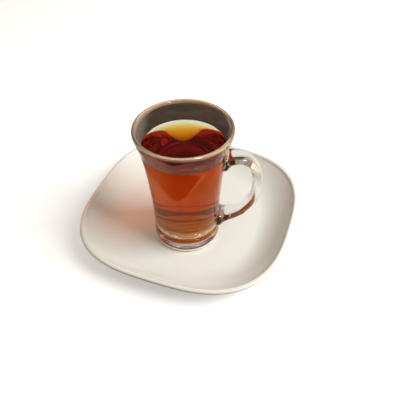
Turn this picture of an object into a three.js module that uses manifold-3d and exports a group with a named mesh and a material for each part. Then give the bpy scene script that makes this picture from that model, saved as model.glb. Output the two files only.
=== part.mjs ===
// A footed, flared glass mug of black tea standing on a rounded-square white saucer.
// Millimetres, +Z up, origin under the middle of the saucer at table height.
import * as THREE from "three";
import { mergeVertices } from "three/addons/utils/BufferGeometryUtils.js";
import Module from "manifold-3d";

// Saucer: a rounded square with bulging sides, a low foot and a thin rounded lip.
const SAUCER_HALF = 88.5;
const SAUCER_HEIGHT = 20.3;
const SAUCER_FLOOR_TOP = 5;
const SAUCER_FLOOR_UNDER = 1.4;
const SAUCER_FOOT_HALF = 50;
const SAUCER_SQUARENESS = 2.9;
const SAUCER_SEGMENTS = 72;

// Glass mug: heights are above its own foot.
const MUG_X = 1.8;
const MUG_Y = -17.2;
const MUG_CLEARANCE = 0.3;
const MUG_BASE = SAUCER_FLOOR_TOP + MUG_CLEARANCE;
const MUG_HEIGHT = 107.3;
const RIM_RADIUS = 37;
const FOOT_RADIUS = 27.3;
const WAIST_HEIGHT = 15.5;
const WAIST_RADIUS = 26.4;
const PUNT_RADIUS = 20;
const PUNT_DEPTH = 2.2;
const CAVITY_FLOOR = 20;
const MUG_SEGMENTS = 56;

// Tea fills the cavity up to this height above the mug's foot.
const TEA_LEVEL = 91.3;
const TEA_GAP = 0.3;

// Handle: an ear of oval section whose plane is turned a little from the saucer's side.
const HANDLE_TURN = THREE.MathUtils.degToRad(15.3);
const HANDLE_WIDTH = 13;
const HANDLE_THICKNESS = 8;
const HANDLE_ROOT_FLARE = 0.35;
const HANDLE_STEPS = 24;
const HANDLE_SIDES = 16;

// Joins rings of equal length into a closed solid with a flat cap over each end ring.
function loft(rings) {
  const sides = rings[0].length;
  const positions = [];
  const indices = [];
  for (const ring of rings) {
    for (const point of ring) positions.push(point.x, point.y, point.z);
  }
  for (let k = 0; k + 1 < rings.length; k++) {
    for (let i = 0; i < sides; i++) {
      const a = k * sides + i;
      const b = k * sides + ((i + 1) % sides);
      indices.push(a, b, b + sides, a, b + sides, a + sides);
    }
  }
  const capEnd = (ring, first, flip) => {
    const middle = new THREE.Vector3();
    for (const point of ring) middle.addScaledVector(point, 1 / sides);
    const centre = positions.length / 3;
    positions.push(middle.x, middle.y, middle.z);
    for (let i = 0; i < sides; i++) {
      const a = first + i;
      const b = first + ((i + 1) % sides);
      indices.push(...(flip ? [centre, b, a] : [centre, a, b]));
    }
  };
  capEnd(rings[0], 0, true);
  capEnd(rings[rings.length - 1], (rings.length - 1) * sides, false);
  const geometry = new THREE.BufferGeometry();
  geometry.setAttribute("position", new THREE.Float32BufferAttribute(positions, 3));
  geometry.setIndex(indices);
  geometry.computeVertexNormals();
  return geometry;
}

// One level ring of the saucer: half-width, height and how square it is.
function squareRing(half, height, squareness) {
  const ring = [];
  for (let i = 0; i < SAUCER_SEGMENTS; i++) {
    const turn = (2 * Math.PI * i) / SAUCER_SEGMENTS;
    const c = Math.abs(Math.cos(turn)) ** squareness;
    const s = Math.abs(Math.sin(turn)) ** squareness;
    const reach = half * (c + s) ** (-1 / squareness);
    ring.push(new THREE.Vector3(reach * Math.cos(turn), reach * Math.sin(turn), height));
  }
  return ring;
}

// The dish's upper face: flat, then a wall that steepens up to the lip.
function dishHeight(half, reachOfFloor, rise, run) {
  const t = Math.max(0, (half - reachOfFloor) / run);
  return SAUCER_FLOOR_TOP + rise * t ** 2.1;
}

function saucerGeometry() {
  const lip = 1.7;
  const floorHalf = 58;
  const wallEnd = SAUCER_HALF - 2 * lip;
  const rise = SAUCER_HEIGHT - lip - SAUCER_FLOOR_TOP;
  const under = 3.4;
  const rings = [];
  const add = (half, height) => {
    const blend = THREE.MathUtils.clamp(half / SAUCER_HALF, 0, 1);
    rings.push(squareRing(half, height, 2.15 + (SAUCER_SQUARENESS - 2.15) * blend ** 2));
  };
  // Under the middle, then down and round the foot.
  add(SAUCER_FOOT_HALF - 5.5, SAUCER_FLOOR_UNDER);
  add(SAUCER_FOOT_HALF - 4, 0);
  add(SAUCER_FOOT_HALF - 0.6, 0);
  add(SAUCER_FOOT_HALF, 0.5);
  add(SAUCER_FOOT_HALF + 1.2, 1.7);
  // Out along the underside of the wall.
  for (let k = 0; k <= 7; k++) {
    const half = SAUCER_FOOT_HALF + 4 + ((SAUCER_HALF - 1.2 - SAUCER_FOOT_HALF - 4) * k) / 7;
    add(half, dishHeight(half - 1.6, floorHalf, rise, wallEnd - floorHalf) - under + 0.9 * (k / 7));
  }
  // Round the lip.
  for (let k = 1; k <= 6; k++) {
    const turn = -0.35 * Math.PI + (1.25 * Math.PI * k) / 6;
    add(SAUCER_HALF - lip + lip * Math.cos(turn), SAUCER_HEIGHT - lip + lip * Math.sin(turn));
  }
  // Down the inside of the wall to the flat floor.
  for (let k = 8; k >= 0; k--) {
    const half = floorHalf + ((wallEnd - 0.4 - floorHalf) * k) / 8;
    add(half, dishHeight(half, floorHalf, rise, wallEnd - floorHalf));
  }
  return loft(rings);
}

// The mug's outer wall from the foot's middle to the lip, radius against height.
function outerWall() {
  const wall = new THREE.CatmullRomCurve3(
    [
      [26.9, 17.6],
      [27.3, 22],
      [27.3, 32],
      [28, 45],
      [29.2, 60],
      [30.9, 75],
      [33, 89],
      [35.5, 98.6],
      [RIM_RADIUS - 0.3, 103.8],
      [RIM_RADIUS, 105.5],
    ].map(([r, z]) => new THREE.Vector3(r, 0, z)),
  );
  return wall.getPoints(15).map((p) => new THREE.Vector2(p.x, p.z));
}

// The cavity's wall from the middle of its floor to the lip, drawn in by a gap where asked.
function innerWall(gap, top) {
  const corner = 7;
  const floorReach = 24.2;
  const points = [new THREE.Vector2(0, CAVITY_FLOOR + gap)];
  for (let k = 0; k <= 4; k++) {
    const turn = (0.5 * Math.PI * k) / 4;
    points.push(
      new THREE.Vector2(
        floorReach - corner + (corner - gap) * Math.sin(turn),
        CAVITY_FLOOR + corner - (corner - gap) * Math.cos(turn),
      ),
    );
  }
  const wall = new THREE.CatmullRomCurve3(
    [
      [floorReach, CAVITY_FLOOR + corner],
      [25.2, 36],
      [26.2, 47],
      [27.5, 60],
      [29.2, 75],
      [31.3, 90],
      [33.3, 99],
      [34.2, 103.4],
      [34.5, 105.5],
    ].map(([r, z]) => new THREE.Vector3(r - gap, 0, z)),
  );
  for (const p of wall.getPoints(12).slice(1)) {
    if (p.z < top) points.push(new THREE.Vector2(p.x, p.z));
  }
  return points;
}

function mugGeometry() {
  const foot = [
    [0, PUNT_DEPTH],
    [PUNT_RADIUS - 4, PUNT_DEPTH * 0.75],
    [PUNT_RADIUS, 0.4],
    [PUNT_RADIUS + 1, 0],
    [FOOT_RADIUS - 1.6, 0],
    [FOOT_RADIUS - 0.4, 0.6],
    [FOOT_RADIUS, 1.9],
    [FOOT_RADIUS, 7.2],
    [FOOT_RADIUS - 0.4, 8.4],
    [FOOT_RADIUS - 0.9, 9],
    [FOOT_RADIUS - 0.5, 10.2],
    [FOOT_RADIUS - 0.4, 12.6],
    [WAIST_RADIUS + 0.1, 14.4],
    [WAIST_RADIUS, WAIST_HEIGHT],
  ].map(([r, z]) => new THREE.Vector2(r, z));
  const lip = [];
  const lipRadius = 1.35;
  for (let k = 1; k <= 5; k++) {
    const turn = (Math.PI * k) / 6;
    lip.push(
      new THREE.Vector2(
        RIM_RADIUS - lipRadius + lipRadius * Math.cos(turn),
        MUG_HEIGHT - 1.8 + 1.8 * Math.sin(turn),
      ),
    );
  }
  const outside = [...foot, ...outerWall(), ...lip, new THREE.Vector2(0, MUG_HEIGHT - 0.5)];
  const cavity = [
    ...innerWall(0, MUG_HEIGHT),
    new THREE.Vector2(34.8, MUG_HEIGHT + 2),
    new THREE.Vector2(0, MUG_HEIGHT + 2),
  ];
  return { outside: turned(outside), cavity: turned(cavity) };
}

// A solid of revolution about +Z from a profile that starts and ends on the axis.
function turned(profile) {
  return new THREE.LatheGeometry(profile, MUG_SEGMENTS).rotateX(Math.PI / 2);
}

// The ear's centre line in its own plane: distance from the mug's axis, height.
const handleLine = new THREE.CatmullRomCurve3(
  [
    [28.8, 78.6],
    [37, 81.6],
    [46.8, 80.6],
    [54, 70.8],
    [56.4, 57.5],
    [54.6, 42.3],
    [45.7, 29.3],
    [35, 22.6],
    [24.5, 19],
  ].map(([r, z]) => new THREE.Vector3(r, 0, z)),
  false,
  "centripetal",
);

function handleGeometry() {
  const rings = [];
  for (let k = 0; k <= HANDLE_STEPS; k++) {
    const u = k / HANDLE_STEPS;
    const at = handleLine.getPointAt(u);
    const along = handleLine.getTangentAt(u);
    const out = new THREE.Vector3(along.z, 0, -along.x);
    const flare = 1 + HANDLE_ROOT_FLARE * (Math.exp(-((u / 0.13) ** 2)) + Math.exp(-(((1 - u) / 0.13) ** 2)));
    const ring = [];
    for (let i = 0; i < HANDLE_SIDES; i++) {
      const turn = (2 * Math.PI * i) / HANDLE_SIDES;
      const point = at.clone().addScaledVector(out, (flare * HANDLE_THICKNESS * Math.cos(turn)) / 2);
      point.y += (flare * HANDLE_WIDTH * Math.sin(turn)) / 2;
      ring.push(point);
    }
    rings.push(ring);
  }
  return loft(rings).rotateZ(HANDLE_TURN);
}

// Boolean work on three.js geometries.
const wasm = await Module();
wasm.setup();

function toSolid(geometry) {
  const bare = geometry.clone();
  bare.deleteAttribute("normal");
  bare.deleteAttribute("uv");
  const merged = mergeVertices(bare, 1e-4);
  const corners = merged.index.array;
  const kept = [];
  for (let i = 0; i < corners.length; i += 3) {
    const [a, b, c] = [corners[i], corners[i + 1], corners[i + 2]];
    if (a !== b && b !== c && c !== a) kept.push(a, b, c);
  }
  const mesh = new wasm.Mesh({
    numProp: 3,
    vertProperties: new Float32Array(merged.attributes.position.array),
    triVerts: new Uint32Array(kept),
  });
  mesh.merge();
  return new wasm.Manifold(mesh);
}

function toGeometry(solid) {
  const mesh = solid.getMesh();
  const geometry = new THREE.BufferGeometry();
  geometry.setAttribute("position", new THREE.Float32BufferAttribute(mesh.vertProperties, 3));
  geometry.setIndex(Array.from(mesh.triVerts));
  geometry.computeVertexNormals();
  return geometry;
}

const { outside, cavity } = mugGeometry();
const mugSolid = toSolid(outside).add(toSolid(handleGeometry())).subtract(toSolid(cavity));

// Tea: the cavity's own shape drawn in by the gap, level at the top.
const teaProfile = innerWall(TEA_GAP, TEA_LEVEL);
const teaEdge = teaProfile[teaProfile.length - 1];
teaProfile.push(new THREE.Vector2(teaEdge.x + 0.1 * (TEA_LEVEL - teaEdge.y), TEA_LEVEL));
teaProfile.push(new THREE.Vector2(0, TEA_LEVEL));

const glassLook = new THREE.MeshStandardMaterial({
  color: 0xe9efec,
  roughness: 0.04,
  metalness: 0,
  transparent: true,
  opacity: 0.35,
});
const teaLook = new THREE.MeshStandardMaterial({ color: 0x8a2c08, roughness: 0.06, metalness: 0 });
const glazeLook = new THREE.MeshStandardMaterial({ color: 0xe9e4da, roughness: 0.18, metalness: 0 });

const part = new THREE.Group();

const saucer = new THREE.Mesh(saucerGeometry(), glazeLook);
saucer.name = "saucer";
part.add(saucer);

const glass = new THREE.Mesh(toGeometry(mugSolid), glassLook);
glass.name = "glass";
glass.position.set(MUG_X, MUG_Y, MUG_BASE);
part.add(glass);

const tea = new THREE.Mesh(turned(teaProfile), teaLook);
tea.name = "tea";
tea.position.set(MUG_X, MUG_Y, MUG_BASE);
part.add(tea);

export default part;
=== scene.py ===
"""A handled glass of black tea on a rounded-square white saucer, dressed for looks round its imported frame."""

import math

import bmesh
import bpy
from mathutils import Matrix, Vector


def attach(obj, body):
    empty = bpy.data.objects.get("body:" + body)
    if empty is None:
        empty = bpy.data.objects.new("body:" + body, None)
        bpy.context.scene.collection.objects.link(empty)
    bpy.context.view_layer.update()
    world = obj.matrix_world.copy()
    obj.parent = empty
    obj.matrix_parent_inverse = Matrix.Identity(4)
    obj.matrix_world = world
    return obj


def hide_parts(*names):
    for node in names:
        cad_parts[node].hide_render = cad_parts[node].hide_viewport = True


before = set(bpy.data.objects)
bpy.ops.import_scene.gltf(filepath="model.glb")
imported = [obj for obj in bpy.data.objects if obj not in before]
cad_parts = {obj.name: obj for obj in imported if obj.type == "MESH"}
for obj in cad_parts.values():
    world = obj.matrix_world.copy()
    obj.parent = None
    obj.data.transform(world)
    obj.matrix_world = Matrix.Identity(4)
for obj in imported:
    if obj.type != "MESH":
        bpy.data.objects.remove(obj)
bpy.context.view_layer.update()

# Lengths are in millimetres and angles in degrees, unless a comment says otherwise. Heights on the glass
# and on the tea are above the glass's own foot.
MM = 0.001
MERGE_WITHIN = 1e-4
SHARP_FROM = math.radians(40)

# Where the glass stands on the saucer, how its ear is turned, and how the whole is turned to the viewer.
GLASS_AT = (1.8, -17.2, 5.3)
EAR_TURN = 15.3
VIEW_AZIMUTH = 20.28

# The glass: its lip, the bowl at the bottom of its cavity, and the hollow under its foot.
GLASS_HEIGHT = 107.3
RIM_RADIUS = 37.0
LIP_RADII = (1.35, 1.75)
CAVITY_FLOOR = 17.0
BOWL_TOP = 28.0
BOWL_CENTRE = 11.2
BOWL_WIDTH = 13.0
HOLLOW_RADIUS = 21.0
HOLLOW_DEPTH = 5.0
HOLLOW_LIFT = 0.1
TURNED_STEPS = 144

# The ear: half the thickness and half the width of its oval section, how far each root reaches into the wall,
# and how much the section grows towards a root, as (size, distance that it fades over).
EAR_HALF_THICK = 4.1
EAR_HALF_WIDE = 6.9
UPPER_ROOT_IN_WALL = 3.0
LOWER_ROOT_IN_WALL = 3.5
ROOT_FILLET = (3.6, 2.6)
ROOT_SWELL = (0.9, 12)
GROWTH_SIDEWAYS = 0.8

# The tea: its level, how far its edge is drawn up the glass, how fast that dies away, and its overlap
# with the wall.
TEA_LEVEL = 89.3
TEA_CLIMB = 1.6
TEA_CLIMB_FADES = 2.0
TEA_INTO_WALL = 0.25
TEA_EDGE = TEA_LEVEL + TEA_CLIMB

# The saucer. Half-widths are measured to the middle of a side. Its upper face rises by a power of the way
# from the flat floor to the edge. Squareness is the power of its rounded-square rings: 2 is a circle, and it
# grows from the middle to the edge.
SAUCER_HALF = 88.4
SAUCER_HEIGHT = 20.3
SAUCER_FLOOR = 5.0
SAUCER_FLOOR_HALF = 58.0
SAUCER_FOOT_HALF = 50.0
SAUCER_LIP = 1.7
SAUCER_THICK = 3.4
SAUCER_UNDER = 1.4
SAUCER_RISE_POWER = 2.1
EDGE_SQUARENESS = 2.9
MIDDLE_SQUARENESS = 2.15


def linear(hex_colour):
    """An sRGB hex colour as the linear RGBA that a shader socket takes."""
    parts = [int(hex_colour[i : i + 2], 16) / 255 for i in (1, 3, 5)]
    return (*[c / 12.92 if c <= 0.04045 else ((c + 0.055) / 1.055) ** 2.4 for c in parts], 1.0)


def smooth_line(points, steps):
    """Points along a smooth curve through the given ones, with steps between each pair."""
    ends = [2 * Vector(points[0]) - Vector(points[1]), 2 * Vector(points[-1]) - Vector(points[-2])]
    p = [ends[0], *map(Vector, points), ends[1]]
    line = []
    for a, b, c, d in zip(p, p[1:], p[2:], p[3:]):
        for k in range(steps):
            t = k / steps
            square = (2 * a - 5 * b + 4 * c - d) * t**2
            cube = (3 * b - a - 3 * c + d) * t**3
            line.append(0.5 * (2 * b + (c - a) * t + square + cube))
    line.append(p[-2])
    return line


def arc(centre, radii, start, end, steps):
    """Points on an ellipse's arc, from one angle in degrees to another."""
    line = []
    for k in range(steps + 1):
        turn = math.radians(start + (end - start) * k / steps)
        line.append(Vector((centre[0] + radii[0] * math.cos(turn), centre[1] + radii[1] * math.sin(turn))))
    return line


def put_in_scene(name, bm):
    """The mesh as an object of the scene, at the origin."""
    mesh = bpy.data.meshes.new(name)
    bm.to_mesh(mesh)
    bm.free()
    placed = bpy.data.objects.new(name, mesh)
    bpy.context.collection.objects.link(placed)
    return placed


def finish_piece(name, bm, material, node):
    """Makes the mesh an object of the part, in metres, standing for a node of the frame."""
    bmesh.ops.scale(bm, vec=(MM, MM, MM), verts=bm.verts)
    piece = put_in_scene(name, bm)
    piece.data.shade_smooth()
    piece.data.materials.append(material)
    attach(piece, "root")
    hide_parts(node)
    return piece


def turned_body(profile, steps):
    """Spins a profile that starts and ends on the axis into a closed body."""
    bm = bmesh.new()
    points = [bm.verts.new((p[0], 0, p[1])) for p in profile]
    edges = [bm.edges.new(pair) for pair in zip(points, points[1:])]
    bmesh.ops.spin(
        bm,
        geom=points + edges,
        cent=(0, 0, 0),
        axis=(0, 0, 1),
        angle=2 * math.pi,
        steps=steps,
        use_merge=True,
    )
    bmesh.ops.remove_doubles(bm, verts=bm.verts, dist=MERGE_WITHIN)
    bmesh.ops.recalc_face_normals(bm, faces=bm.faces)
    return bm


def first_ring(bm, segments):
    """A circle of radius one, to draw a body out of."""
    return bmesh.ops.create_circle(bm, cap_ends=False, segments=segments, radius=1.0)["verts"]


def next_ring(bm, ring):
    """Extrudes a ring once. The ring says what each vertex carries, and the new one hands that on."""
    edges = [e for e in bm.edges if e.verts[0] in ring and e.verts[1] in ring]
    made = bmesh.ops.extrude_edge_only(bm, edges=edges)["geom"]
    fresh = [g for g in made if isinstance(g, bmesh.types.BMVert)]
    return {v: handed_on(v, ring) for v in fresh}


def handed_on(vert, ring):
    """What the ring's vertex carries that this new one was extruded from."""
    for edge in vert.link_edges:
        other = edge.other_vert(vert)
        if other in ring:
            return ring[other]
    raise ValueError("a new ring vertex has no neighbour in the last ring")


def close_ends(bm):
    """Closes a body drawn out of rings, with its faces pointing outwards."""
    bmesh.ops.holes_fill(bm, edges=[e for e in bm.edges if e.is_boundary], sides=0)
    bmesh.ops.recalc_face_normals(bm, faces=bm.faces)


# The wall's two lines as (radius, height): the outside from the groove above the base to the lip, the inside
# from the top of the cavity's bowl to the lip.
OUTSIDE = smooth_line(
    [
        (26.95, 21.7),
        (27.15, 24.0),
        (27.3, 32),
        (28, 45),
        (29.1, 60),
        (30.7, 75),
        (32.8, 89),
        (35.4, 98.6),
        (36.7, 103.8),
        (RIM_RADIUS, 105.4),
    ],
    6,
)
INSIDE = smooth_line(
    [
        (24.2, BOWL_TOP),
        (25.2, 36),
        (26.2, 47),
        (27.5, 60),
        (29.2, 75),
        (31.3, 90),
        (33.2, 99),
        (34.05, 103.2),
        (34.25, 105.2),
    ],
    6,
)


def radius_at(line, height):
    """Radius of one of the wall's lines at a height, by straight steps between its points."""
    for low, high in zip(line, line[1:]):
        if low[1] <= height <= high[1]:
            return low[0] + (high[0] - low[0]) * (height - low[1]) / (high[1] - low[1])
    return line[0][0] if height < line[0][1] else line[-1][0]


def bowl(grow, start, end):
    """The rounding between the cavity's floor and its wall, moved outwards into the glass."""
    radii = (BOWL_WIDTH + grow, BOWL_TOP - CAVITY_FLOOR + grow)
    return arc((BOWL_CENTRE, BOWL_TOP), radii, start, end, 16)


def glass_profile():
    """Half section of the glass: from the hollow under the foot up the outside, over the lip, down inside."""
    rings = 24
    hollow = [
        Vector((HOLLOW_RADIUS * k / rings, HOLLOW_LIFT + HOLLOW_DEPTH * (1 - (k / rings) ** 2)))
        for k in range(rings)
    ]
    foot = [
        *arc((22, 0.8), (0.9, 0.7), 220, 270, 3),
        *arc((25.1, 2.0), (2.0, 2.0), -90, -20, 7),
        *smooth_line([(27.2, 3.0), (27.35, 5.5), (27.32, 8.0), (27.15, 10.8), (26.95, 13.0)], 4),
        *arc((27.35, 14.6), (0.75, 0.75), 235, 125, 6),
        *smooth_line([(26.92, 16.0), (27.05, 17.3), (27.05, 18.7), (26.98, 19.7)], 4),
        *arc((27.4, 20.7), (0.75, 0.7), 235, 130, 5),
    ]
    lip = arc((RIM_RADIUS - LIP_RADII[0], GLASS_HEIGHT - LIP_RADII[1]), LIP_RADII, 15, 165, 10)
    middle = [Vector((6, CAVITY_FLOOR)), Vector((0, CAVITY_FLOOR))]
    return [*hollow, *foot, *OUTSIDE, *lip, *reversed(INSIDE), *bowl(0, -4, -90), *middle]


def cavity_line(grow):
    """The cavity's wall from the middle of its floor up to the tea's level, moved outwards into the glass."""
    middle = [Vector((0, CAVITY_FLOOR - grow)), Vector((6, CAVITY_FLOOR - grow))]
    wall = [p + Vector((grow, 0)) for p in INSIDE if p[1] < TEA_LEVEL]
    return [*middle, *bowl(grow, -90, -4), *wall]


def ear_body():
    """The ear: an oval section drawn along its centre line, spreading into the wall at both roots."""
    line = smooth_line(
        [
            (27.8, 78.2),
            (37, 81.4),
            (46.8, 80.4),
            (54, 70.8),
            (56.4, 57.5),
            (54.6, 42.3),
            (45.7, 29.3),
            (35, 22.6),
            (24.0, 19),
        ],
        12,
    )
    lengths = [0.0]
    for a, b in zip(line, line[1:]):
        lengths.append(lengths[-1] + (b - a).length)
    bm = bmesh.new()
    ring = {v: v.co.copy() for v in first_ring(bm, 40)}
    for k, at in enumerate(line):
        along = (line[min(k + 1, len(line) - 1)] - line[max(k - 1, 0)]).normalized()
        out = Vector((along[1], -along[0]))
        from_root = min(lengths[k] - UPPER_ROOT_IN_WALL, lengths[-1] - lengths[k] - LOWER_ROOT_IN_WALL)
        fillet = ROOT_FILLET[0] * math.exp(-max(from_root, 0) / ROOT_FILLET[1])
        swell = ROOT_SWELL[0] * math.exp(-((from_root / ROOT_SWELL[1]) ** 2))
        growth = fillet + swell
        thick, wide = EAR_HALF_THICK + growth, EAR_HALF_WIDE + GROWTH_SIDEWAYS * growth
        if k:
            ring = next_ring(bm, ring)
        for v, c in ring.items():
            v.co = (at[0] + out[0] * thick * c.x, wide * c.y, at[1] + out[1] * thick * c.x)
    close_ends(bm)
    turn = Matrix.Rotation(math.radians(EAR_TURN), 3, "Z")
    bmesh.ops.rotate(bm, cent=(0, 0, 0), matrix=turn, verts=bm.verts)
    return bm


def boolean(first, second, operation):
    """The union or difference of two closed meshes, as a new one."""
    blanks = [put_in_scene("first_blank", first), put_in_scene("second_blank", second)]
    step = blanks[0].modifiers.new("step", "BOOLEAN")
    step.operation = operation
    step.solver = "EXACT"
    step.object = blanks[1]
    bpy.context.view_layer.update()
    evaluated = blanks[0].evaluated_get(bpy.context.evaluated_depsgraph_get())
    bm = bmesh.new()
    bm.from_mesh(evaluated.to_mesh())
    for blank in blanks:
        mesh = blank.data
        bpy.data.objects.remove(blank)
        bpy.data.meshes.remove(mesh)
    bmesh.ops.remove_doubles(bm, verts=bm.verts, dist=MERGE_WITHIN)
    return bm


def on_root(co):
    """True close to where the ear's roots meet the outside of the wall."""
    lowest, highest, half_turn = 8, 98, 0.5
    foot_wall, slope_from, slope = 26.9, 30, 0.09
    behind, before = 0.4, 9
    turn = math.atan2(co.y, co.x) - math.radians(EAR_TURN)
    reach = math.hypot(co.x, co.y)
    wall = foot_wall + max(0.0, co.z - slope_from) * slope
    return abs(turn) < half_turn and wall - behind < reach < wall + before and lowest < co.z < highest


def soften_roots(bm):
    """Rounds the seam where the ear meets the wall, as hot glass runs together there."""
    crease, within, rounds = math.radians(24), 2.4, 6
    bm.normal_update()
    seam = [
        e.verts[0].co.copy()
        for e in bm.edges
        if len(e.link_faces) == 2 and e.calc_face_angle(0) > crease and on_root(e.verts[0].co)
    ]
    near = [v for v in bm.verts if on_root(v.co) and any((v.co - c).length < within for c in seam)]
    for _ in range(rounds):
        bmesh.ops.smooth_vert(
            bm, verts=near, factor=0.5, use_axis_x=True, use_axis_y=True, use_axis_z=True
        )


def glass_body():
    """The whole glass: turned body and ear in one mesh, moved to its place on the saucer."""
    core = turned_body([*cavity_line(0.8), Vector((0, TEA_LEVEL))], 96)
    ear = boolean(ear_body(), core, "DIFFERENCE")
    bm = boolean(turned_body(glass_profile(), TURNED_STEPS), ear, "UNION")
    soften_roots(bm)
    bmesh.ops.translate(bm, vec=GLASS_AT, verts=bm.verts)
    return bm


def tea_surface(edge, away):
    """A point of the tea's top, by how far it is from the glass: level, and drawn up at the edge."""
    return Vector((edge - away, TEA_LEVEL + TEA_CLIMB * math.exp(-away / TEA_CLIMB_FADES)))


def tea_body():
    """The tea: it reaches a little into the wall, and is level on top with its edge drawn up the glass."""
    edge = radius_at(INSIDE, TEA_EDGE)
    drawn_up, steps = 8.0, 18
    top = [tea_surface(edge, -TEA_INTO_WALL)]
    top += [tea_surface(edge, drawn_up * (k / steps) ** 2) for k in range(steps + 1)]
    top += [Vector((radius, TEA_LEVEL)) for radius in (18, 9, 0)]
    bm = turned_body([*cavity_line(TEA_INTO_WALL), *top], TURNED_STEPS)
    bmesh.ops.translate(bm, vec=GLASS_AT, verts=bm.verts)
    return bm


def dish_height(half):
    """Height of the saucer's upper face where its ring has this half-width."""
    wall_end = SAUCER_HALF - 2 * SAUCER_LIP
    rise = SAUCER_HEIGHT - SAUCER_LIP - SAUCER_FLOOR
    along = max(0.0, (half - SAUCER_FLOOR_HALF) / (wall_end - SAUCER_FLOOR_HALF))
    return SAUCER_FLOOR + rise * along**SAUCER_RISE_POWER


def saucer_section():
    """The saucer's half section as (half-width, height): from below, round the foot, over the lip, in."""
    foot = SAUCER_FOOT_HALF
    line = [(1.0, SAUCER_UNDER), (20, SAUCER_UNDER), (foot - 7, SAUCER_UNDER)]
    line += [(foot - 5.6, 1.2), (foot - 4.6, 0.4), (foot - 3.8, 0), (foot - 1.2, 0)]
    line += [(foot - 0.4, 0.2), (foot, 0.8), (foot + 0.9, 1.6)]
    start, end, steps = foot + 3.5, SAUCER_HALF - 1.2, 24
    for k in range(steps + 1):
        half = start + (end - start) * k / steps
        line.append((half, dish_height(half - 1.6) - SAUCER_THICK + 0.9 * k / steps))
    lip_centre = (SAUCER_HALF - SAUCER_LIP, SAUCER_HEIGHT - SAUCER_LIP)
    line += [tuple(p) for p in arc(lip_centre, (SAUCER_LIP, SAUCER_LIP), -26, 158, 14)]
    start, end, steps = SAUCER_FLOOR_HALF, SAUCER_HALF - 3.6, 32
    for k in range(steps, -1, -1):
        half = start + (end - start) * k / steps
        line.append((half, dish_height(half)))
    return line + [(half, SAUCER_FLOOR) for half in (50, 40, 28, 14, 1.0)]


def saucer_body():
    """Rounded-square rings drawn one from the other along the section, closed in the middle at both ends."""
    bm = bmesh.new()
    turns = {v: math.atan2(v.co.y, v.co.x) for v in first_ring(bm, 192)}
    for k, (half, height) in enumerate(saucer_section()):
        if k:
            turns = next_ring(bm, turns)
        outwards = min(1.0, half / SAUCER_HALF) ** 2
        squareness = MIDDLE_SQUARENESS + (EDGE_SQUARENESS - MIDDLE_SQUARENESS) * outwards
        for v, turn in turns.items():
            spread = abs(math.cos(turn)) ** squareness + abs(math.sin(turn)) ** squareness
            reach = half * spread ** (-1 / squareness)
            v.co = (reach * math.cos(turn), reach * math.sin(turn), height)
    close_ends(bm)
    return bm


# The refraction of glass, glaze and tea, and the glass's own faint tone.
GLASS_IOR = 1.51
GLAZE_IOR = 1.5
TEA_IOR = 1.333
CLEAR_GLASS = "#fbfdfb"

# Tints of the surface's gloss, in linear light. A wetted inner face has none, because no air lies
# behind it. Before the tea, above it and on the foot, the gloss is painted orange and stronger than white:
# a painted reflection that stands for the tea's light shining back through the glass.
CLEAR_SHEEN = (1, 1, 1, 1)
WETTED_SHEEN = (0, 0, 0, 1)
TEA_BACKED_PAINTED_REFLECTION = (2.0, 1.0, 0.2, 1)
TEA_WARMED_PAINTED_REFLECTION = (1.7, 0.4, 0.12, 1)
FOOT_PAINTED_REFLECTION = (1.4, 0.85, 0.25, 1)

# Noise scales, a metre: the mould's waves are 22 mm long, the glaze's clouds 33 mm and its ripples 6 mm.
MOULD_WAVES = 45.0
GLAZE_CLOUDS = 30.0
GLAZE_RIPPLES = 160.0

# Light that passes through the tea keeps its red longest. The colour is linear, and the density is a metre.
TEA_COLOUR = (0.951, 0.782, 0.0, 1.0)
TEA_DENSITY = 250.0

# Painted light on the foot, up its outside, as (height, colour): amber bands at its rings stand for the tea's
# light that the foot gathers, and the pale tones for the lit saucer seen through the base.
FOOT_PAINTED_BANDS = [
    (0.5, "#fbf1e6"),
    (9.2, "#faecdc"),
    (11.4, "#c85600"),
    (15.2, "#c85600"),
    (17.0, "#f3dcc4"),
    (19.2, "#f0d2b0"),
    (21.6, "#c45000"),
    (25.6, "#b84600"),
    (27.0, "#dca070"),
]
FOOT_BANDS_SPAN = 30.0
# Heights between which the foot turns from mostly matt and painted pale to mostly clear.
PAINTED_PALE_TO, CLEAR_FROM = 9.0, 11.0
# Heights between which the cavity floor's painted orange fades into clear glass.
PAINTED_ORANGE_TO, UNTINTED_FROM = 23.2, 31.2

# The colour inputs and the colour output of a Mix node, whose names it uses more than once.
MIX_A, MIX_B, MIX_RESULT = 6, 7, 2


def add_node(tree, kind, links=(), numbered=(), **settings):
    """Adds a node, sets sockets and properties by name or by number, and links outputs into its inputs."""
    node = tree.nodes.new(kind)
    for name, value in settings.items():
        socket = node.inputs.get(name.replace("_", " "))
        if socket is not None:
            socket.default_value = value
        else:
            setattr(node, name, value)
    for number, value in numbered:
        node.inputs[number].default_value = value
    for output, target in links:
        tree.links.new(output, node.inputs[target])
    return node


def new_material(name):
    """An empty node material and its tree."""
    material = bpy.data.materials.new(name)
    material.use_nodes = True
    material.node_tree.nodes.clear()
    return material, material.node_tree


def level_on_glass(height):
    """A height above the glass's foot as Z of the Object coordinates, in metres."""
    return (height + GLASS_AT[2]) * MM


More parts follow.
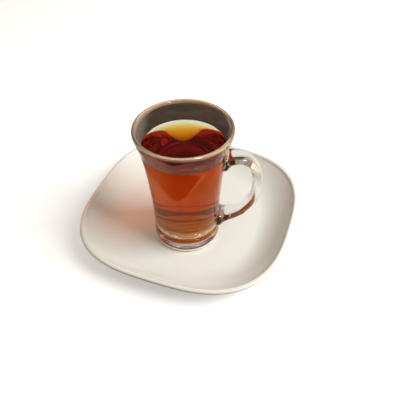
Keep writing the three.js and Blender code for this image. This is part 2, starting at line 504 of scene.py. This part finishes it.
def pressed_soda_lime_glass(name, sheen):
    """Soda-lime glass, pressed and fire-polished: clear, very smooth, with slow waves left by the mould."""
    material, tree = new_material(name)
    place = add_node(tree, "ShaderNodeTexCoord")
    waves = add_node(
        tree, "ShaderNodeTexNoise", [(place.outputs["Object"], "Vector")], Scale=MOULD_WAVES, Detail=1.0
    )
    bump = add_node(
        tree, "ShaderNodeBump", [(waves.outputs["Fac"], "Height")], Strength=0.05, Distance=1.0 * MM
    )
    shader = add_node(
        tree,
        "ShaderNodeBsdfPrincipled",
        [(bump.outputs["Normal"], "Normal")],
        Base_Color=linear(CLEAR_GLASS),
        Roughness=0.0,
        IOR=GLASS_IOR,
        Transmission_Weight=1.0,
        # The tint is white on plain faces, none on wetted ones, and a painted reflection before and above the
        # tea.
        Specular_Tint=sheen,
    )
    add_node(tree, "ShaderNodeOutputMaterial", [(shader.outputs[0], "Surface")])
    return material


def foot_glass_painted_light():
    """The thick pressed base, with painted light on it: amber bands at its rings stand for the tea's light that
    it gathers, and the pale, partly matt tone low down for the lit saucer seen through it. Its gloss is tinted
    warm, a painted reflection.

    The painted tones act where light enters from outside. Light that comes from within the glass leaves it
    clear."""
    material, tree = new_material("foot_glass_painted_light")
    place = add_node(tree, "ShaderNodeTexCoord")
    split = add_node(tree, "ShaderNodeSeparateXYZ", [(place.outputs["Object"], "Vector")])
    side = add_node(tree, "ShaderNodeNewGeometry")
    level = add_node(
        tree,
        "ShaderNodeMapRange",
        [(split.outputs["Z"], "Value")],
        From_Min=level_on_glass(0.0),
        From_Max=level_on_glass(FOOT_BANDS_SPAN),
    )
    # The painted amber and pale tones up the foot.
    bands = add_node(tree, "ShaderNodeValToRGB", [(level.outputs["Result"], "Fac")])
    stops = bands.color_ramp.elements
    for height, colour in FOOT_PAINTED_BANDS:
        stops.new(height / FOOT_BANDS_SPAN).color = linear(colour)
    stops.remove(stops[0])
    stops.remove(stops[-1])
    clearness = add_node(
        tree,
        "ShaderNodeMapRange",
        [(split.outputs["Z"], "Value")],
        From_Min=level_on_glass(PAINTED_PALE_TO),
        From_Max=level_on_glass(CLEAR_FROM),
        To_Min=0.36,
        To_Max=0.8,
    )
    clear_within = add_node(
        tree,
        "ShaderNodeMath",
        [(clearness.outputs["Result"], 0), (side.outputs["Backfacing"], 1)],
        operation="MAXIMUM",
    )
    tone = add_node(
        tree,
        "ShaderNodeMix",
        [(side.outputs["Backfacing"], "Factor"), (bands.outputs["Color"], MIX_A)],
        [(MIX_B, linear(CLEAR_GLASS))],
        data_type="RGBA",
    )
    shader = add_node(
        tree,
        "ShaderNodeBsdfPrincipled",
        [(tone.outputs[MIX_RESULT], "Base Color"), (clear_within.outputs[0], "Transmission Weight")],
        Roughness=0.0,
        IOR=GLASS_IOR,
        Specular_Tint=FOOT_PAINTED_REFLECTION,
    )
    add_node(tree, "ShaderNodeOutputMaterial", [(shader.outputs[0], "Surface")])
    return material


def cavity_floor_glass_painted_tea_light():
    """The cavity's floor, painted deep orange low down: a painted tint that stands for the tea's light, which
    goes from the tea into the base or back.
    """
    material, tree = new_material("cavity_floor_glass_painted_tea_light")
    place = add_node(tree, "ShaderNodeTexCoord")
    split = add_node(tree, "ShaderNodeSeparateXYZ", [(place.outputs["Object"], "Vector")])
    level = add_node(
        tree,
        "ShaderNodeMapRange",
        [(split.outputs["Z"], "Value")],
        From_Min=level_on_glass(PAINTED_ORANGE_TO),
        From_Max=level_on_glass(UNTINTED_FROM),
    )
    # Painted deep orange below, clear glass above.
    tone = add_node(
        tree,
        "ShaderNodeMix",
        [(level.outputs["Result"], "Factor")],
        [(MIX_A, linear("#f48044")), (MIX_B, linear(CLEAR_GLASS))],
        data_type="RGBA",
    )
    shader = add_node(
        tree,
        "ShaderNodeBsdfPrincipled",
        [(tone.outputs[MIX_RESULT], "Base Color")],
        Roughness=0.0,
        IOR=GLASS_IOR,
        Transmission_Weight=1.0,
        Specular_Tint=WETTED_SHEEN,
    )
    add_node(tree, "ShaderNodeOutputMaterial", [(shader.outputs[0], "Surface")])
    return material


def lip_glass_painted_glow():
    """The lip: the same glass with a warm tan painted in as a matt share, a painted glow that stands for
    the light that it gathers from all round, so that it stands out as a warm pale line.
    """
    material, tree = new_material("lip_glass_painted_glow")
    # The warm tan base colour and the matt share left by a transmission of 0.77 are the painted glow.
    shader = add_node(
        tree,
        "ShaderNodeBsdfPrincipled",
        Base_Color=linear("#f2cba4"),
        Roughness=0.02,
        IOR=GLASS_IOR,
        Transmission_Weight=0.77,
    )
    add_node(tree, "ShaderNodeOutputMaterial", [(shader.outputs[0], "Surface")])
    return material


def brewed_black_tea():
    """Strained black tea: clear, gold where thin and deep red-brown through the width of the glass."""
    material, tree = new_material("brewed_black_tea")
    shader = add_node(
        tree,
        "ShaderNodeBsdfPrincipled",
        Base_Color=(1, 1, 1, 1),
        Roughness=0.0,
        IOR=TEA_IOR,
        Transmission_Weight=1.0,
        Specular_Tint=WETTED_SHEEN,
    )
    depth = add_node(tree, "ShaderNodeVolumeAbsorption", Color=TEA_COLOUR, Density=TEA_DENSITY)
    add_node(
        tree, "ShaderNodeOutputMaterial", [(shader.outputs[0], "Surface"), (depth.outputs[0], "Volume")]
    )
    return material


def white_porcelain_glaze():
    """Fired porcelain under a clear warm-white glaze: glossy, with a faint unevenness of level and tone."""
    material, tree = new_material("white_porcelain_glaze")
    place = add_node(tree, "ShaderNodeTexCoord")
    clouds = add_node(
        tree, "ShaderNodeTexNoise", [(place.outputs["Object"], "Vector")], Scale=GLAZE_CLOUDS, Detail=3.0
    )
    tone = add_node(
        tree,
        "ShaderNodeMix",
        [(clouds.outputs["Fac"], "Factor")],
        [(MIX_A, linear("#e9e6dc")), (MIX_B, linear("#e5e2d8"))],
        data_type="RGBA",
    )
    ripples = add_node(
        tree, "ShaderNodeTexNoise", [(place.outputs["Object"], "Vector")], Scale=GLAZE_RIPPLES, Detail=2.0
    )
    bump = add_node(
        tree, "ShaderNodeBump", [(ripples.outputs["Fac"], "Height")], Strength=0.03, Distance=0.4 * MM
    )
    shader = add_node(
        tree,
        "ShaderNodeBsdfPrincipled",
        [(tone.outputs[MIX_RESULT], "Base Color"), (bump.outputs["Normal"], "Normal")],
        Roughness=0.09,
        IOR=GLAZE_IOR,
    )
    add_node(tree, "ShaderNodeOutputMaterial", [(shader.outputs[0], "Surface")])
    return material


# The glass's finishes in the order of its material slots, and where they begin and end.
PRESSED, WETTED, TEA_BACKED, LIP, FOOT, CAVITY_BASE, TEA_WARMED = range(7)
LIP_FROM = 104.6
FOOT_FROM, FOOT_TO = 0.3, 27.0
CAVITY_BASE_FROM, CAVITY_BASE_TO = CAVITY_FLOOR - 0.5, 31.5
WALL_SKIN = 0.3

# The side of the wall that faces the viewer, from +X, and the least cosine from it that still counts as
# facing.
FACING_SIDE = math.radians(-69.7)
LEAST_FACING = 0.1

# Before the tea, that side's sheen is evened between two heights, where it fades in and out over a few
# millimetres. It is strongest a little to one side, as middle + swing * cosine, and none is left at the back.
EVENED_ASIDE = 0.87
EVENED_MIDDLE, EVENED_SWING = 0.27, 0.5
BACK_MIDDLE, BACK_SWING = 0.6, 2.0
EVENED_FROM, EVENED_FADE_IN = 30, 8
EVENED_TO, EVENED_FADE_OUT = 95, 7


def finish_at(at):
    """The glass's finish at a point, given from the middle of its foot."""
    reach = math.hypot(at.x, at.y)
    inner, outer = radius_at(INSIDE, at.z), radius_at(OUTSIDE, at.z)
    mid_wall, outer_skin = 0.5 * (inner + outer), outer + WALL_SKIN
    if at.z > LIP_FROM:
        return LIP
    if FOOT_FROM < at.z < FOOT_TO and mid_wall < reach < outer_skin:
        return FOOT
    if reach > outer_skin:
        return PRESSED
    if at.z > TEA_EDGE and math.cos(math.atan2(at.y, at.x) - FACING_SIDE) > LEAST_FACING:
        return TEA_WARMED
    if not CAVITY_BASE_FROM < at.z < TEA_EDGE:
        return PRESSED
    if reach < mid_wall:
        return CAVITY_BASE if at.z < CAVITY_BASE_TO else WETTED
    return TEA_BACKED


def evened_normal(vert):
    """The wall's shading normal before the tea, laid more level on the side that faces the viewer."""
    x, y, height = [c / MM - at for c, at in zip(vert.co, GLASS_AT)]
    turn = math.atan2(y, x) - FACING_SIDE
    facing = max(0.0, EVENED_MIDDLE + EVENED_SWING * math.cos(turn + EVENED_ASIDE))
    facing *= min(1.0, max(0.0, BACK_SWING * math.cos(turn) + BACK_MIDDLE))
    inside = min((height - EVENED_FROM) / EVENED_FADE_IN, (EVENED_TO - height) / EVENED_FADE_OUT)
    keep = 1.0 - facing * min(1.0, max(0.0, inside))
    return Vector((vert.normal.x, vert.normal.y, vert.normal.z * keep)).normalized()[:]


def dress_glass(piece):
    """Gives each face of the glass its finish, some with painted light in it, and evens the sheen of the
    wall before the tea.
    """
    mesh = piece.data
    mesh.set_sharp_from_angle(angle=SHARP_FROM)
    mesh.materials.append(pressed_soda_lime_glass("wetted_soda_lime_glass", WETTED_SHEEN))
    # Before and above the tea the glass carries painted reflections: its gloss tinted orange and stronger than
    # white.
    mesh.materials.append(pressed_soda_lime_glass("tea_backed_glass_painted_reflection", TEA_BACKED_PAINTED_REFLECTION))
    mesh.materials.append(lip_glass_painted_glow())
    mesh.materials.append(foot_glass_painted_light())
    mesh.materials.append(cavity_floor_glass_painted_tea_light())
    mesh.materials.append(pressed_soda_lime_glass("tea_warmed_glass_painted_reflection", TEA_WARMED_PAINTED_REFLECTION))
    as_it_is = (0.0, 0.0, 0.0)
    shading = [as_it_is] * len(mesh.loops)
    for face in mesh.polygons:
        face.material_index = finish_at(face.center / MM - Vector(GLASS_AT))
        if face.material_index == TEA_BACKED:
            for loop in face.loop_indices:
                shading[loop] = evened_normal(mesh.vertices[mesh.loops[loop].vertex_index])
    mesh.normals_split_custom_set(shading)


glass = finish_piece(
    "tea_glass",
    glass_body(),
    pressed_soda_lime_glass("pressed_soda_lime_glass", CLEAR_SHEEN),
    "glass",
)
dress_glass(glass)
tea = finish_piece("tea_fill", tea_body(), brewed_black_tea(), "tea")
tea.data.set_sharp_from_angle(angle=SHARP_FROM)
saucer = finish_piece("saucer_dish", saucer_body(), white_porcelain_glaze(), "saucer")


# The stage's reach from the middle, in metres.
STAGE_REACH = 2.5


def pale_card():
    """Matt pale card for the stage, lit a little from within so that it stays pale."""
    material, tree = new_material("pale_card")
    shader = add_node(
        tree,
        "ShaderNodeBsdfPrincipled",
        Base_Color=linear("#f2f1ef"),
        Roughness=0.9,
        Emission_Color=linear("#f2f1ef"),
        Emission_Strength=0.45,
    )
    add_node(tree, "ShaderNodeOutputMaterial", [(shader.outputs[0], "Surface")])
    return material


def brown_table():
    """A dark brown table, paler to the left and right, where lip and ear take their tan lines from."""
    material, tree = new_material("brown_table")
    place = add_node(tree, "ShaderNodeTexCoord")
    turned = add_node(
        tree,
        "ShaderNodeMapping",
        [(place.outputs["Object"], "Vector")],
        Rotation=(0, 0, math.radians(-VIEW_AZIMUTH)),
    )
    split = add_node(tree, "ShaderNodeSeparateXYZ", [(turned.outputs["Vector"], "Vector")])
    aside = add_node(tree, "ShaderNodeMath", [(split.outputs["X"], 0)], operation="ABSOLUTE")
    paler = add_node(
        tree, "ShaderNodeMapRange", [(aside.outputs[0], "Value")], From_Min=60 * MM, From_Max=150 * MM
    )
    tone = add_node(
        tree,
        "ShaderNodeMix",
        [(paler.outputs["Result"], "Factor")],
        [(MIX_A, linear("#2a211b")), (MIX_B, linear("#e2d3c0"))],
        data_type="RGBA",
    )
    shader = add_node(
        tree, "ShaderNodeBsdfPrincipled", [(tone.outputs[MIX_RESULT], "Base Color")], Roughness=0.5
    )
    add_node(tree, "ShaderNodeOutputMaterial", [(shader.outputs[0], "Surface")])
    return material


def stage_piece(name, bm, material):
    """Makes the mesh an object of the stage, which isn't part of the glass and saucer."""
    piece = put_in_scene(name, bm)
    piece.data.materials.append(material)
    return piece


def stage_sheet(name, height, material):
    """A wide level sheet, at a height from the line that the saucer stands on."""
    bm = bmesh.new()
    bmesh.ops.create_grid(bm, x_segments=1, y_segments=1, size=STAGE_REACH)
    bmesh.ops.translate(bm, vec=(0, 0, height * MM), verts=bm.verts)
    return stage_piece(name, bm, material)


def stage_wall(name, radius, height, material):
    """A plain round wall far behind everything, in metres, in which low views end as pale as the floor."""
    bm = bmesh.new()
    bmesh.ops.create_cone(bm, cap_ends=False, segments=96, radius1=radius, radius2=radius, depth=height)
    bmesh.ops.translate(bm, vec=(0, 0, height / 2), verts=bm.verts)
    piece = stage_piece(name, bm, material)
    piece.data.shade_smooth()
    return piece


# The camera sees a pale floor. Glass and glaze look onto a dark table top just under it, as in the
# photograph.
card = pale_card()
floor = stage_sheet("floor", -0.2, card)
wall = stage_wall("wall", 2.4, 1.6, card)
table_top = stage_sheet("table_top", -0.6, brown_table())
for sheet, seen_by_camera in ((floor, True), (wall, True), (table_top, False)):
    sheet.visible_camera = seen_by_camera
    sheet.visible_diffuse = not seen_by_camera
    sheet.visible_glossy = not seen_by_camera
    sheet.visible_transmission = not seen_by_camera
    sheet.visible_shadow = not seen_by_camera


def aimed_light(name, kind, out, place, power, colour):
    """A light at a place in metres that shines back along a direction, and isn't seen through glass."""
    data = bpy.data.lights.new(name, kind)
    data.energy = power
    data.color = linear(colour)[:3]
    lamp = bpy.data.objects.new(name, data)
    bpy.context.collection.objects.link(lamp)
    lamp.location = place
    lamp.rotation_mode = "QUATERNION"
    lamp.rotation_quaternion = out.to_track_quat("Z", "Y")
    lamp.visible_transmission = False
    return lamp


def window(name, azimuth, elevation, distance, size, power, colour):
    """A rectangular soft light that faces the glass, by azimuth from +X and elevation, in metres."""
    glass_middle = Vector((0, 0, 0.05))
    a, e = math.radians(azimuth), math.radians(elevation)
    out = Vector((math.cos(a) * math.cos(e), math.sin(a) * math.cos(e), math.sin(e)))
    lamp = aimed_light(name, "AREA", out, out * distance + glass_middle, power, colour)
    lamp.data.shape = "RECTANGLE"
    lamp.data.size, lamp.data.size_y = size
    return lamp


def tea_glow(name, spot, angle, power, colour):
    """A soft narrow light for the warm patch on the saucer, where light through the tea falls."""
    out = Vector((-0.55, -0.25, 0.8)).normalized()
    lamp = aimed_light(name, "SPOT", out, Vector(spot) * MM + out * 0.5, power, colour)
    lamp.data.spot_size = math.radians(angle)
    lamp.data.spot_blend = 1.0
    lamp.data.shadow_soft_size = 0.01
    lamp.visible_glossy = False
    return lamp


def light_only(name, piece, lamps):
    """Keeps the light of these lamps to one piece."""
    lit = bpy.data.collections.new(name)
    lit.objects.link(piece)
    for lamp in lamps:
        lamp.light_linking.receiver_collection = lit


window_right = window("window_right", 5, 42, 1.2, (0.85, 0.75), 18.7, "#fafcff")
window_right.visible_glossy = False
window_front = window("window_front", 325, 38, 1.3, (0.26, 0.36), 8.0, "#fbfcff")
glow_wide = tea_glow("glow_wide", (-66, -12, 5), 13, 3.2, "#ff8038")
glow_core = tea_glow("glow_core", (-43, -20, 5), 4.2, 1.3, "#ff5a14")
light_only("glinting", glass, [window_front])
light_only("warmed_by_tea", saucer, [glow_wide, glow_core])

# The room's light, in linear tones: brown low down, near white above.
ROOM_LOW = (0.34, 0.24, 0.16, 1)
ROOM_HIGH = (0.385, 0.365, 0.335, 1)
scene = bpy.context.scene
world = bpy.data.worlds.new("studio")
scene.world = world
world.use_nodes = True
room = world.node_tree
look = add_node(room, "ShaderNodeTexCoord")
rise = add_node(room, "ShaderNodeSeparateXYZ", [(look.outputs["Generated"], "Vector")])
height = add_node(room, "ShaderNodeMapRange", [(rise.outputs["Z"], "Value")], From_Min=0.40, From_Max=0.60)
shade = add_node(
    room,
    "ShaderNodeMix",
    [(height.outputs["Result"], "Factor")],
    [(MIX_A, ROOM_LOW), (MIX_B, ROOM_HIGH)],
    data_type="RGBA",
)
room.links.new(shade.outputs[MIX_RESULT], room.nodes["Background"].inputs["Color"])
room.nodes["Background"].inputs["Strength"].default_value = 1.0

scene.view_settings.view_transform = "Standard"
scene.cycles.max_bounces = 24
scene.cycles.transmission_bounces = 20
scene.cycles.glossy_bounces = 8
scene.cycles.diffuse_bounces = 6
scene.cycles.caustics_refractive = True
scene.cycles.caustics_reflective = True
scene.cycles.blur_glossy = 0.3

# Camera: a pinhole fitted to the photograph's outlines of rim, tea level, foot and saucer. The eye is given
# from the glass's foot, in axes that are turned by the azimuth.
FRAME_PIXELS = 400
FOCAL_PIXELS = 456.0
SENSOR_WIDTH = 36
PITCH, ROLL = math.radians(44.54), math.radians(-0.71)
EYE_FROM_GLASS = (11.35, -266.8, 296.51)
turn_to_part = Matrix.Rotation(math.radians(VIEW_AZIMUTH), 3, "Z")
forward = turn_to_part @ Vector((0, math.cos(PITCH), -math.sin(PITCH)))
level_right = turn_to_part @ Vector((1, 0, 0))
level_up = level_right.cross(forward)
right = math.cos(ROLL) * level_right + math.sin(ROLL) * level_up
up = math.cos(ROLL) * level_up - math.sin(ROLL) * level_right
camera_data = bpy.data.cameras.new("camera")
camera_data.lens = FOCAL_PIXELS / FRAME_PIXELS * SENSOR_WIDTH
camera_data.clip_start = 0.01
camera = bpy.data.objects.new("camera", camera_data)
bpy.context.collection.objects.link(camera)
placed = Matrix((right, up, -forward)).transposed().to_4x4()
placed.translation = (turn_to_part @ Vector(EYE_FROM_GLASS) + Vector(GLASS_AT)) * MM
camera.matrix_world = placed
scene.camera = camera
